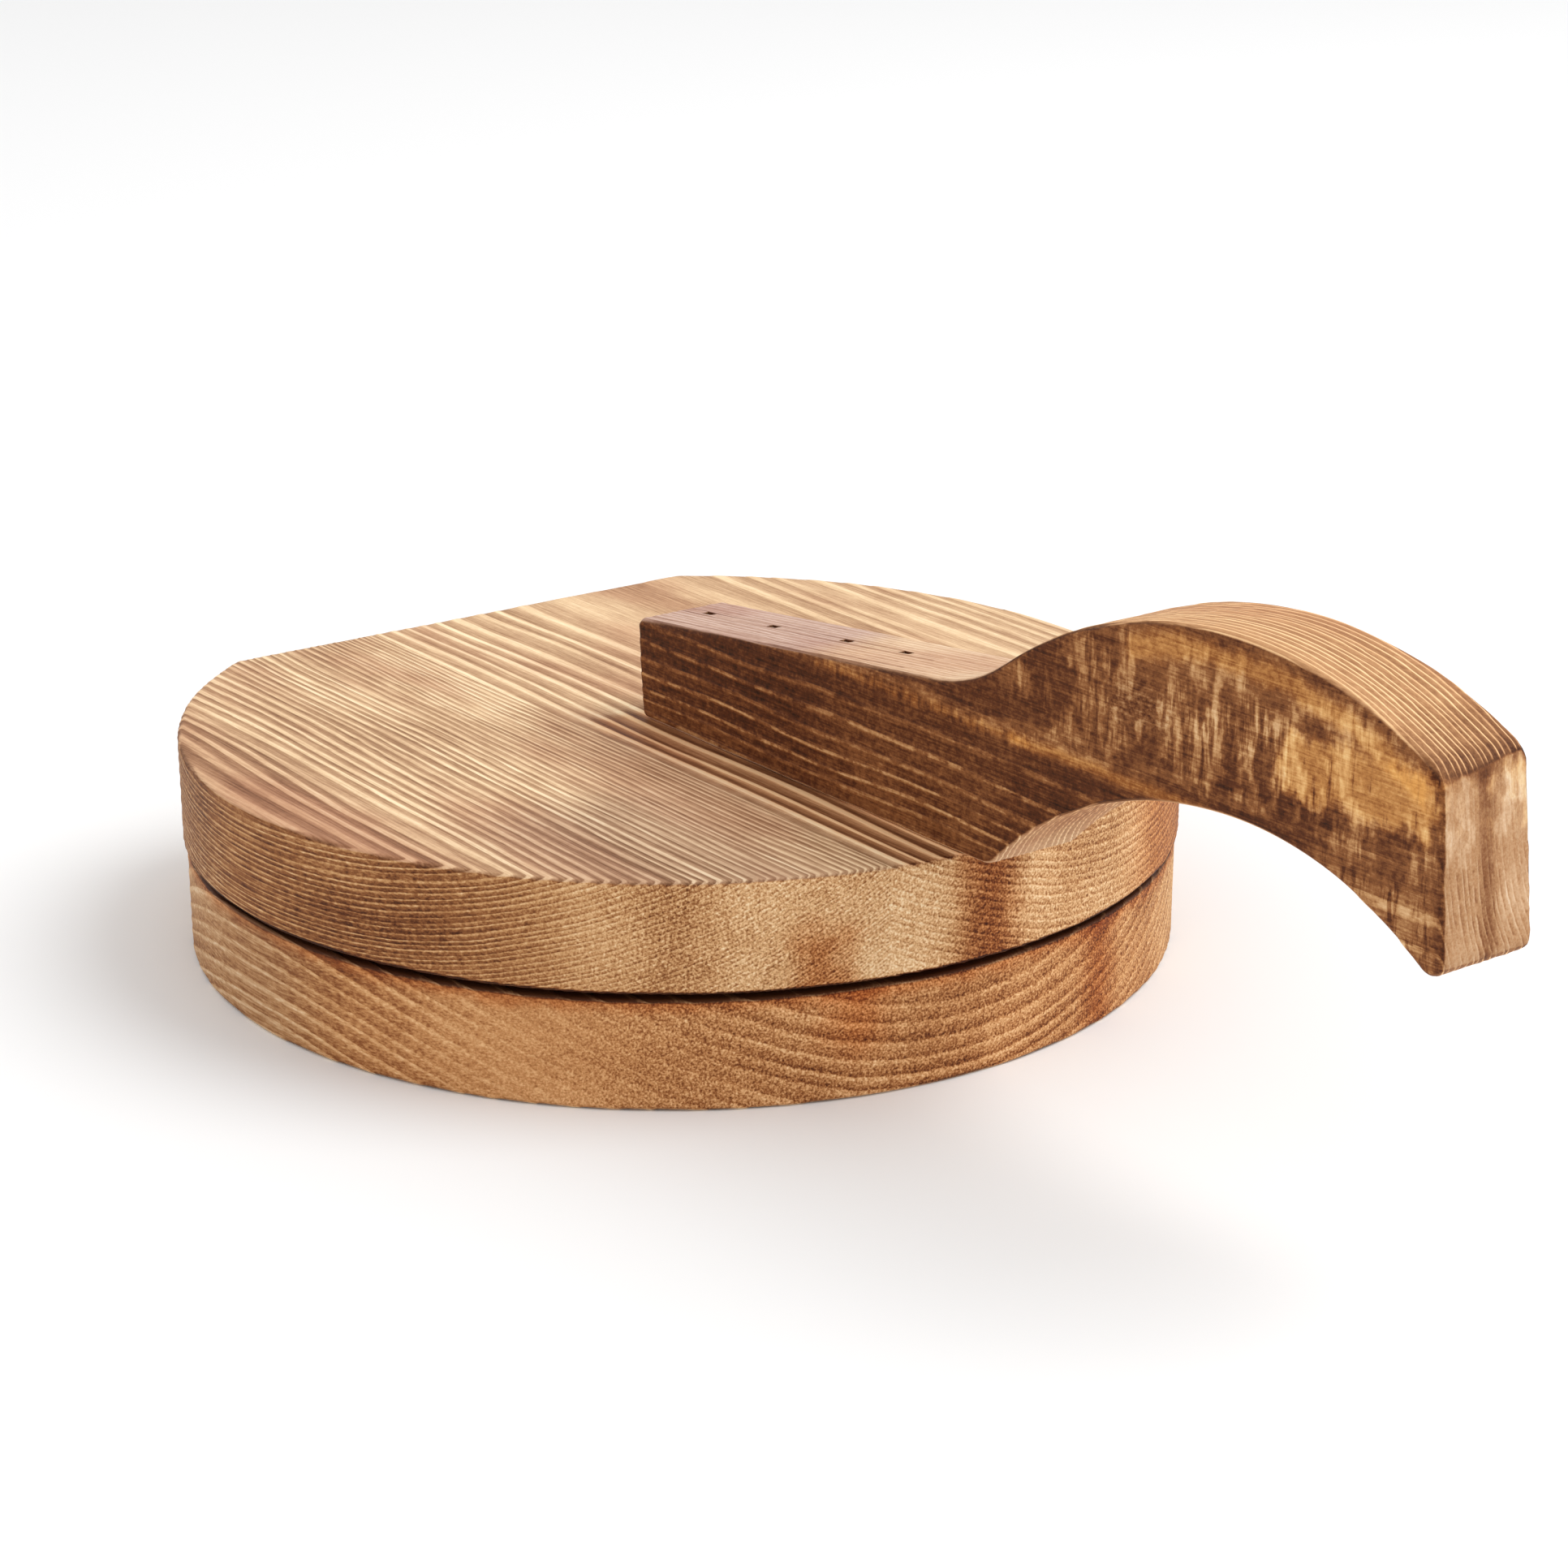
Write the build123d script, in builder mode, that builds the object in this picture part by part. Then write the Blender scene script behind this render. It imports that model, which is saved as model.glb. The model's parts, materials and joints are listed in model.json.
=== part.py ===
from build123d import *
from math import radians, sqrt, tan
import os

os.makedirs("parts", exist_ok=True)

# A hinged wooden press for dumpling wrappers. Two round boards are cut off straight at the
# back, where two small butt hinges join them. A lever handle stands on edge on the upper board.
# Millimetres. The origin is the lower disc's centre on the face it rests on, the handle reaches
# towards -Y, the hinges are at +Y, and Z is up.

# Boards
disc_diameter = 150.0
lower_shortfall = 1.0  # how much smaller the lower disc is across
upper_thickness = 16.0
lower_thickness = 16.0
flat_length = 85.0  # the straight back edge of the upper board
board_gap = 0.8  # left between the closed boards
flat_corner_radius = 2.0  # upright corners at the two ends of the flat
board_ease = 0.6  # sanded edges

# Handle, seen from the side. Overhangs are counted from the upper board's rim towards the hand,
# heights from the upper board's top.
handle_width = 15.0
start_reach = 0.3  # from the disc's centre to the foot of the handle's back end
start_lean = 1.0  # its top is this much further back, square to the sloping top
start_height = 15.2
neck_overhang = 2.0  # where the straight top turns up into the arch
neck_height = 23.9
crown_overhang = 50.0  # highest place of the arch
crown_height = 42.0
palm_overhang = 51.5  # highest place of the hollow under the arch
palm_height = 19.4
heel_overhang = 5.4  # where the hollow leaves the flat underside
tip_top_overhang = 82.9
tip_top_height = 33.4
tip_bottom_overhang = 85.0
tip_bottom_height = 6.9
facet_height = 30.0  # where a sanded facet of the end begins on the left side
facet_skew = 4.2  # degrees, it takes off more towards the right
facet_lean = 7.4  # degrees, and more towards the top
start_radius = 1.5
neck_radius = 30.0
heel_radius = 3.0
tip_top_radius = 5.5
tip_bottom_radius = 2.2
handle_ease = 0.6  # sanded long edges

# T-headed brads through the handle into the upper board
brad_reaches = [6.2, 22.3, 39.4, 52.7]  # from the disc's centre, as the nail gun left them
brad_side = 0.8  # how far the row is off the handle's middle
brad_length = 25.0
brad_width = 1.3  # along the handle
brad_thickness = 1.2
brad_head_width = 2.2
brad_head_height = 0.6
brad_point = 2.0  # chisel point
brad_sink = 0.4  # heads are set below the wood
brad_fit = 0.02

# Butt hinges
hinge_length = 25.0
hinge_inset = 7.0  # from the end of the flat to the end of the hinge
leaf_height = 11.0  # from the pin's axis to the leaf's edge
leaf_thickness = 1.0
leaf_corner_radius = 1.2
knuckle_radius = 2.1
knuckle_count = 3  # an odd number, so that the lower leaf has both ends
knuckle_play = 0.2  # end play between neighbouring knuckles
slot_clearance = 0.35  # from a knuckle to the notch of the other leaf
curl_gap = 0.2  # open seam where the rolled sheet comes back to the leaf
pin_radius = 1.0
pin_overhang = 0.4  # wire left standing out of each end
pin_end_ease = 0.2
pin_grip = 0.01  # in the lower leaf, which holds the pin
pin_play = 0.05  # in the upper leaf, which turns on it

# Countersunk hinge screws
screws_in_leaf = 2
screw_spacing = 15.0
screw_drop = 6.4  # from the pin's axis to the row of screws
screw_length = 10.0
screw_radius = 0.95
screw_point = 1.8
screw_fit = 0.02
head_fit = 0.05
countersink_angle = 90  # the heads fill the leaf's whole thickness
recess_length = 2.0
recess_width = 0.5
recess_depth = 0.6

# Places that follow from the sizes above
disc_radius = disc_diameter / 2
flat_reach = sqrt(disc_radius**2 - (flat_length / 2) ** 2)
lid_bottom = lower_thickness + board_gap
lid_top = lid_bottom + upper_thickness
pin_y = flat_reach + knuckle_radius
pin_z = lower_thickness + board_gap / 2
hinge_x = flat_length / 2 - hinge_inset - hinge_length / 2
knuckle_pitch = hinge_length / knuckle_count
notch_size = 2 * (knuckle_radius + slot_clearance)
leaf_front = flat_reach + leaf_thickness
screw_head_radius = screw_radius + leaf_thickness * tan(radians(countersink_angle / 2))
start_top_reach = start_reach - start_lean
top_slope = (neck_height - start_height) / (disc_radius + neck_overhang - start_top_reach)


def back_plane(y, z):
    """Plane facing backwards, its X along the row's X, its origin on the middle line."""
    return Plane(origin=(0, y, z), x_dir=(1, 0, 0), z_dir=(0, 1, 0))


def brad_places(height_above):
    """One place over each brad, counted from the handle's sloping top."""
    tops = [lid_top + start_height + top_slope * (reach - start_top_reach) for reach in brad_reaches]
    return [(brad_side, -reach, top + height_above) for reach, top in zip(brad_reaches, tops)]


def brad_body(fit, rise):
    """Brad with its head's top at the origin, or the hole for it: grown by the fit, with the
    pocket for the head raised out of the wood."""
    head, shank = brad_head_width / 2 + fit, brad_width / 2 + fit
    neck_level, tip_level = -brad_head_height - fit, -brad_length - fit
    half = [(head, rise), (head, neck_level), (shank, neck_level), (shank, tip_level + brad_point)]
    with BuildPart() as body:
        with BuildSketch(Plane.YZ):
            with BuildLine():
                Polyline(*half, (0, tip_level), *[(-x, y) for x, y in reversed(half)], close=True)
            make_face()
        extrude(amount=brad_thickness / 2 + fit, both=True)
    return body.part


def board_body(radius, bottom, thickness, screw_row):
    """Round board cut off straight at the back, with the pilot holes for the hinge screws."""
    with BuildPart() as body:
        with BuildSketch(Plane.XY.offset(bottom)) as outline:
            Circle(radius)
            with Locations((0, flat_reach)):
                Rectangle(2 * radius, radius, align=(Align.CENTER, Align.MIN), mode=Mode.SUBTRACT)
            fillet(outline.vertices(), flat_corner_radius)
        extrude(amount=thickness)
        rims = body.edges().group_by(Axis.Z)
        chamfer(rims[0] + rims[-1], board_ease)
        with Locations(back_plane(flat_reach, screw_row)):
            with GridLocations(2 * hinge_x, 0, 2, 1):
                with GridLocations(screw_spacing, 0, screws_in_leaf, 1):
                    Hole(screw_radius + screw_fit, depth=screw_length)
    return body.part


brad_hole = brad_body(brad_fit, brad_sink + brad_head_height)

# Lower board
with BuildPart() as lower_board:
    add(board_body(disc_radius - lower_shortfall / 2, 0, lower_thickness, pin_z - screw_drop))
lower_board.part.label = "lower_board"
export_step(lower_board.part, "parts/lower_board.step")

# Upper board
with BuildPart() as upper_board:
    add(board_body(disc_radius, lid_bottom, upper_thickness, pin_z + screw_drop))
    with Locations(*brad_places(-brad_sink)):
        add(brad_hole, mode=Mode.SUBTRACT)
upper_board.part.label = "upper_board"
export_step(upper_board.part, "parts/upper_board.step")

# Handle
handle_plane = Plane(origin=(0, 0, lid_top), x_dir=(0, -1, 0), z_dir=(-1, 0, 0))
start_bottom = (start_reach, 0)
start_top = (start_top_reach, start_height)
neck = (disc_radius + neck_overhang, neck_height)
crown = (disc_radius + crown_overhang, crown_height)
tip_top = (disc_radius + tip_top_overhang, tip_top_height)
tip_bottom = (disc_radius + tip_bottom_overhang, tip_bottom_height)
palm = (disc_radius + palm_overhang, palm_height)
heel = (disc_radius + heel_overhang, 0)
facet_share = (tip_top_height - facet_height) / (tip_top_height - tip_bottom_height)
facet_reach = tip_top[0] + facet_share * (tip_bottom[0] - tip_top[0])
facet_across = Vector(1, 0, 0).rotate(Axis.Z, facet_skew)
facet_up = Vector(0, 0, 1).rotate(Axis.X, -facet_lean)
facet_plane = Plane(
    origin=(-handle_width / 2, -facet_reach, lid_top + facet_height),
    x_dir=facet_across,
    z_dir=facet_across.cross(facet_up),
)
with BuildPart() as handle:
    with BuildSketch(handle_plane) as side:
        with BuildLine():
            Polyline(heel, start_bottom, start_top, neck)
            TangentArc(crown, neck, tangent=(-1, 0))
            TangentArc(crown, tip_top, tangent=(1, 0))
            Line(tip_top, tip_bottom)
            TangentArc(palm, tip_bottom, tangent=(1, 0))
            TangentArc(palm, heel, tangent=(-1, 0))
        make_face()
        for corner, radius in (
            (start_bottom, start_radius),
            (start_top, start_radius),
            (neck, neck_radius),
            (heel, heel_radius),
            (tip_top, tip_top_radius),
            (tip_bottom, tip_bottom_radius),
        ):
            fillet(side.vertices().sort_by_distance(corner)[0], radius)
    extrude(amount=handle_width / 2, both=True)
    sides = handle.faces().filter_by(Axis.X).sort_by(Axis.X)
    chamfer(sides[0].edges() + sides[-1].edges(), handle_ease)
    split(bisect_by=facet_plane, keep=Keep.BOTTOM)
    with Locations(*brad_places(-brad_sink)):
        add(brad_hole, mode=Mode.SUBTRACT)
handle.part.label = "handle"
export_step(handle.part, "parts/handle.step")

# Brads
with BuildPart() as handle_brads:
    with Locations(*brad_places(-brad_sink)):
        add(brad_body(0, 0))
handle_brads.part.label = "handle_brads"
export_step(handle_brads.part, "parts/handle_brads.step")

# Countersunk hinge screw, its head's top at the origin
with BuildPart() as screw:
    with BuildSketch(Plane.XZ):
        with BuildLine():
            Polyline(
                (0, 0),
                (screw_head_radius, 0),
                (screw_radius, -leaf_thickness),
                (screw_radius, screw_point - screw_length),
                (0, -screw_length),
                close=True,
            )
        make_face()
    revolve(axis=Axis.Z)
    with BuildSketch():
        Rectangle(recess_length, recess_width)
        Rectangle(recess_width, recess_length)
    extrude(amount=-recess_depth, mode=Mode.SUBTRACT)

# Hinges: the lower leaf holds the pin and has the outer knuckles, the upper leaf turns on it
for side_name, middle in (("left", -hinge_x), ("right", hinge_x)):
    first_end = middle - hinge_length / 2
    for row_name, direction, first_notch, bore_radius in (
        ("lower", -1, 1, pin_radius + pin_grip),
        ("upper", 1, 0, pin_radius + pin_play),
    ):
        screw_row = pin_z + direction * screw_drop
        notched = range(first_notch, knuckle_count, 2)
        with BuildPart() as leaf:
            with BuildSketch(Plane.YZ.offset(first_end)):
                with Locations((flat_reach, pin_z + direction * leaf_height / 2)):
                    Rectangle(leaf_thickness, leaf_height, align=(Align.MIN, Align.CENTER))
                with Locations((pin_y, pin_z)):
                    Circle(knuckle_radius)
                    Circle(bore_radius, mode=Mode.SUBTRACT)
                with Locations((leaf_front + curl_gap / 2, pin_z + direction * knuckle_radius / 2)):
                    Rectangle(curl_gap, knuckle_radius, mode=Mode.SUBTRACT)
            extrude(amount=hinge_length)
            with Locations(*[(first_end + (k + 0.5) * knuckle_pitch, pin_y, pin_z) for k in notched]):
                Box(knuckle_pitch + knuckle_play, notch_size, notch_size, mode=Mode.SUBTRACT)
            leaf_edge = leaf.edges().filter_by(Axis.Y).sort_by(Axis.Z)
            fillet(leaf_edge[-2:] if direction > 0 else leaf_edge[:2], leaf_corner_radius)
            with Locations(back_plane(leaf_front, screw_row)):
                with Locations((middle, 0)):
                    with GridLocations(screw_spacing, 0, screws_in_leaf, 1):
                        CounterSinkHole(
                            screw_radius + head_fit,
                            screw_head_radius + head_fit,
                            depth=leaf_thickness,
                            counter_sink_angle=countersink_angle,
                        )
        leaf.part.label = f"{side_name}_{row_name}_leaf"
        export_step(leaf.part, f"parts/{leaf.part.label}.step")

        with BuildPart() as screws:
            with Locations(back_plane(leaf_front, screw_row)):
                with Locations((middle, 0)):
                    with GridLocations(screw_spacing, 0, screws_in_leaf, 1):
                        add(screw.part)
        screws.part.label = f"{side_name}_{row_name}_screws"
        export_step(screws.part, f"parts/{screws.part.label}.step")

    with BuildPart() as hinge_pin:
        with BuildSketch(Plane.YZ.offset(first_end - pin_overhang)):
            with Locations((pin_y, pin_z)):
                Circle(pin_radius)
        extrude(amount=hinge_length + 2 * pin_overhang)
        chamfer(hinge_pin.edges().filter_by(GeomType.CIRCLE), pin_end_ease)
    hinge_pin.part.label = f"{side_name}_hinge_pin"
    export_step(hinge_pin.part, f"parts/{hinge_pin.part.label}.step")
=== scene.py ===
import json
import math

import bmesh
import bpy
import numpy as np
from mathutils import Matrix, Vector, noise

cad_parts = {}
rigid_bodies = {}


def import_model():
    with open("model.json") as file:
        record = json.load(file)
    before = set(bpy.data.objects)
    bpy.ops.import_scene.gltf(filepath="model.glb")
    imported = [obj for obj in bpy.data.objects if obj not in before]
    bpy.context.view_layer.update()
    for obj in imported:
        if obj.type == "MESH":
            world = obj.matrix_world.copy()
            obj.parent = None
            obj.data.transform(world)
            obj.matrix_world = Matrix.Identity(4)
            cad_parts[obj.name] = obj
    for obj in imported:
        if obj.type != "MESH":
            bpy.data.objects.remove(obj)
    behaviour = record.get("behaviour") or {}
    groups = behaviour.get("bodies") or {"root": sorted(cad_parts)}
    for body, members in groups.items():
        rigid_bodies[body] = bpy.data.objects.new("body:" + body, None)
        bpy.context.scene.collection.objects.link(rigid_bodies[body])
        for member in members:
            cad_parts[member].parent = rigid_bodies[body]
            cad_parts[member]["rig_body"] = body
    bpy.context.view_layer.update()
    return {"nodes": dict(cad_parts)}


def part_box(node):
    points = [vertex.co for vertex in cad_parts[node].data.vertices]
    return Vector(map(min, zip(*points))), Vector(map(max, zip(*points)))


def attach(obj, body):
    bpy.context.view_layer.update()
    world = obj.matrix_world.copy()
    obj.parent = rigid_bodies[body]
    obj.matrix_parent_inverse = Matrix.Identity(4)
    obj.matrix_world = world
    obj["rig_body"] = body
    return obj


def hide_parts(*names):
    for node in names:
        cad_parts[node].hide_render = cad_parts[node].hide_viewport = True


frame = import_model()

# A hinged wooden press: two torched and brushed softwood boards, an arched lever handle nailed
# on with brads, and two small brass-plated butt hinges at the straight back edge.
# Grain figures are given in millimetres, everything that lands in the scene is in metres.
mm = 0.001
print("frame loaded:", len(frame["nodes"]), "nodes")


# Small tools for node trees

def feed(tree, socket, value):
    if isinstance(value, bpy.types.NodeSocket):
        tree.links.new(value, socket)
    elif value is not None:
        socket.default_value = value


class Bench:
    # one node tree and short ways to add to it, the same for materials and geometry
    def __init__(self, tree):
        self.tree = tree

    def add(self, kind, inputs=(), **settings):
        node = self.tree.nodes.new(kind)
        for name, value in settings.items():
            setattr(node, name, value)
        for place, value in dict(inputs).items():
            feed(self.tree, node.inputs[place], value)
        return node

    def maths(self, operation, *values):
        return self.add("ShaderNodeMath", enumerate(values), operation=operation).outputs[0]

    def centred(self, value):
        # a share of 0 to 1 moved about nothing, so that it both adds and takes away
        return self.maths("SUBTRACT", value, 0.5)

    def vector(self, operation, *values):
        return self.add("ShaderNodeVectorMath", enumerate(values), operation=operation).outputs[0]

    def scaled(self, vector, sizes):
        return self.vector("MULTIPLY", vector, sizes)

    def length(self, vector):
        return self.add("ShaderNodeVectorMath", {0: vector}, operation="LENGTH").outputs["Value"]

    def noise(self, vector, detail=2.0, rough=0.5, colour=False):
        inputs = {"Vector": vector, "Scale": 1.0, "Detail": detail, "Roughness": rough}
        return self.add("ShaderNodeTexNoise", inputs).outputs[1 if colour else 0]

    def pattern(self, place, scale, shift=None, **settings):
        # noise with this many waves in a millimetre along X, Y and Z
        vector = self.scaled(place, scale)
        if shift:
            vector = self.vector("ADD", vector, shift)
        return self.noise(vector, **settings)

    def remap(self, value, low, high, toLow=0.0, toHigh=1.0, smooth=True):
        kind = "SMOOTHSTEP" if smooth else "LINEAR"
        limits = enumerate((value, low, high, toLow, toHigh))
        return self.add("ShaderNodeMapRange", limits, interpolation_type=kind).outputs[0]

    def window(self, value, low, high, soft):
        # 1 between low and high, with soft shoulders
        rise = self.remap(value, low - soft, low + soft)
        fall = self.remap(value, high - soft, high + soft, 1.0, 0.0)
        return self.maths("MULTIPLY", rise, fall)

    def blend(self, factor, first, second):
        return self.add("ShaderNodeMix", {0: factor, 2: first, 3: second}, data_type="FLOAT").outputs[0]

    def tint(self, factor, first, second, how="MIX"):
        inputs = {0: factor, 6: first, 7: second}
        return self.add("ShaderNodeMix", inputs, data_type="RGBA", blend_type=how).outputs[2]

    def ramp(self, value, stops):
        node = self.add("ShaderNodeValToRGB", {0: value})
        while len(node.color_ramp.elements) < len(stops):
            node.color_ramp.elements.new(0.5)
        for element, (place, colour) in zip(node.color_ramp.elements, stops):
            element.position = place
            element.color = colour if hasattr(colour, "__len__") else (colour, colour, colour, 1.0)
        return node.outputs[0]


def tone(red, green, blue):
    # a colour as it looks on screen, 0 to 255, made linear
    shares = [v / 255 for v in (red, green, blue)]
    return tuple(v / 12.92 if v <= 0.04045 else ((v + 0.055) / 1.055) ** 2.4 for v in shares) + (1.0,)


millimetres = (1000.0, 1000.0, 1000.0)  # in a metre, along each axis


def startMaterial(name):
    # a new material, its bench, the place on the object in millimetres and the way its surface faces
    material = bpy.data.materials.new(name)
    material.use_nodes = True
    material.node_tree.nodes.clear()
    bench = Bench(material.node_tree)
    coords = bench.add("ShaderNodeTexCoord").outputs
    return material, bench, bench.scaled(coords["Object"], millimetres), coords["Normal"]


def finishShader(bench, colour, rough, height, strength, distance):
    bump = bench.add("ShaderNodeBump", {"Height": height, "Strength": strength, "Distance": distance * mm})
    inputs = {"Base Color": colour, "Roughness": rough, "Normal": bump.outputs[0]}
    shader = bench.add("ShaderNodeBsdfPrincipled", inputs)
    bench.tree.links.new(shader.outputs[0], bench.add("ShaderNodeOutputMaterial").inputs[0])
    return shader


# Wood

upperWood = {
    "piths": [(-96.0, 130.0), (28.0, 118.0)],  # x and z of each stave's heart
    "ringWidths": [0.88, 1.25],
    "ringRadii": [100.0, 85.0],  # where the rings have that width
    "ringTapers": [0.012, 0.004],  # how much narrower each ring is than the one inside it
    "joint": -17.6,  # x of the glue line between the staves
    "sway": 1.6,
    "shift": (0.0, 0.0, 0.0),
}
lowerWood = {
    "piths": [(-7.0, 79.0)],
    "ringWidths": [2.7],
    "ringRadii": [71.0],
    "ringTapers": [0.04],
    "joint": None,
    "sway": 1.6,
    "shift": (31.0, 7.0, 12.0),
}
handleWood = {
    "piths": [(42.0, 60.0)],
    "ringWidths": [0.88],
    "ringRadii": [52.0],
    "ringTapers": [0.005],
    "joint": None,
    "sway": 2.0,
    "shift": (-53.0, 21.0, 5.0),
}


ringPattern = {
    "slow": {"scale": (1 / 34, 1 / 130, 1 / 34), "colour": True},
    "quick": {"scale": (1 / 7, 1 / 34, 1 / 7), "colour": True},
    "slowSway": 2.0,  # times the wood's own sway
    "quickSway": 0.24,
    "least": 0.02,  # keeps the logarithm's input above zero
    "unevenStep": 0.45,  # how fast the ring widths change
    "unevenDepth": 1.3,  # and by how many rings
    # from one late line to the next: early wood is pale just outside the line, then darkens slowly
    "paleness": [(0.0, 0.2), (0.06, 0.88), (0.22, 1.0), (0.38, 0.5), (0.62, 0.3), (0.9, 0.06), (1.0, 0.2)],
}


def growthRings(bench, place, wood):
    # place is in millimetres, and the answer counts rings outwards from the heart
    moved = bench.vector("ADD", place, wood["shift"])
    swayed = place
    for kind in ("slow", "quick"):
        wave = bench.vector("SUBTRACT", bench.pattern(moved, **ringPattern[kind]), (0.5, 0.5, 0.5))
        step = bench.scaled(wave, (ringPattern[kind + "Sway"] * wood["sway"],) * 3)
        swayed = bench.vector("ADD", swayed, step)
    counts = []
    staves = zip(wood["piths"], wood["ringWidths"], wood["ringRadii"], wood["ringTapers"])
    for (heartX, heartZ), width, radius, taper in staves:
        fromHeart = bench.vector("SUBTRACT", swayed, (heartX, 0.0, heartZ))
        far = bench.length(bench.scaled(fromHeart, (1.0, 0.0, 1.0)))
        narrowed = bench.maths("MULTIPLY", bench.maths("SUBTRACT", far, radius), taper / width)
        left = bench.maths("MAXIMUM", bench.maths("SUBTRACT", 1.0, narrowed), ringPattern["least"])
        counts.append(bench.maths("MULTIPLY", bench.maths("LOGARITHM", left, math.e), -1 / taper))
    count = counts[0]
    if wood["joint"] is not None:
        across = bench.add("ShaderNodeSeparateXYZ", {0: place}).outputs[0]
        count = bench.blend(bench.maths("GREATER_THAN", across, wood["joint"]), counts[0], counts[1])
    step = bench.maths("MULTIPLY", count, ringPattern["unevenStep"])
    uneven = bench.noise(bench.add("ShaderNodeCombineXYZ", {0: step}).outputs[0], 1.0)
    return bench.maths("ADD", count, bench.maths("MULTIPLY", uneven, ringPattern["unevenDepth"]))


def paleShare(bench, count):
    return bench.ramp(bench.maths("FRACT", count), ringPattern["paleness"])


gripCentre = (-124.0, 9.8)  # y and z of the middle that the grip's round back is bowed about


def markShare(bench, mark, place, ragged, grain, faces):
    # where a stain, scorch, worn patch, painted shade, painted sheen or painted reflection lies: a face and
    # its stretches in millimetres or degrees of turn
    torn = bench.vector("ADD", place, bench.scaled(ragged, (mark.get("rag", 0.0),) * 3))
    x, y, z = bench.add("ShaderNodeSeparateXYZ", {0: torn}).outputs
    turn = bench.maths("MULTIPLY", bench.maths("ARCTAN2", x, bench.maths("MULTIPLY", y, -1.0)), 180 / math.pi)
    far = bench.length(bench.scaled(torn, (1.0, 1.0, 0.0)))
    bow = bench.length(bench.scaled(bench.vector("SUBTRACT", torn, (0.0, *gripCentre)), (0.0, 1.0, 1.0)))
    share = faces[mark["on"]]
    for axis, value in {"x": x, "y": y, "z": z, "turn": turn, "far": far, "bow": bow}.items():
        if axis in mark:
            share = bench.maths("MULTIPLY", share, bench.window(value, *mark[axis], mark["soft"]))
    for kind, pattern in grain.items():
        if kind in mark:
            share = bench.maths("MULTIPLY", share, bench.remap(pattern, *mark[kind]))
    return share


woodPatterns = {
    "streaks": {"scale": (0.8, 0.8, 1 / 9), "detail": 4.0, "rough": 0.65},
    "grit": {"scale": (1.3, 1.0, 1.3), "detail": 4.0, "rough": 0.75},
    "blotch": {"scale": (1 / 5, 1 / 5, 1 / 8), "detail": 3.0, "rough": 0.6},
    "broken": {"scale": (1 / 2, 1 / 4, 1 / 2), "detail": 3.0, "rough": 0.65},
    "patch": {"scale": (1 / 17, 1 / 46, 1 / 17), "detail": 3.0, "rough": 0.55},
    "fibre": {"scale": (3.4, 1 / 9, 3.4), "detail": 3.0, "rough": 0.6},
    "speckle": {"scale": (3.0, 3.0, 3.0), "rough": 0.65},
    "cloud": {"scale": (1 / 14, 1 / 40, 1 / 14), "shift": (7.0, 3.0, 1.0)},
    "ragged": {"detail": 4.0, "rough": 0.7, "colour": True},  # its scale is in each look
}
woodSpans = {
    "top": (0.35, 0.75),  # a face that looks this far up or down turns from a side to a top
    "edge": (0.3, 0.86, 0.08),  # how far an edge looks along edgeAxis: from, to and softness
    "ringDepths": (0.6, 1.3),  # every ring has its own depth of colour
    "gaps": (0.56, 0.4),
    "cloud": (0.42, 0.66),
}
woodRelief = {"pale": 0.7, "fine": 0.9, "distance": 0.12}  # the last in millimetres


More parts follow.
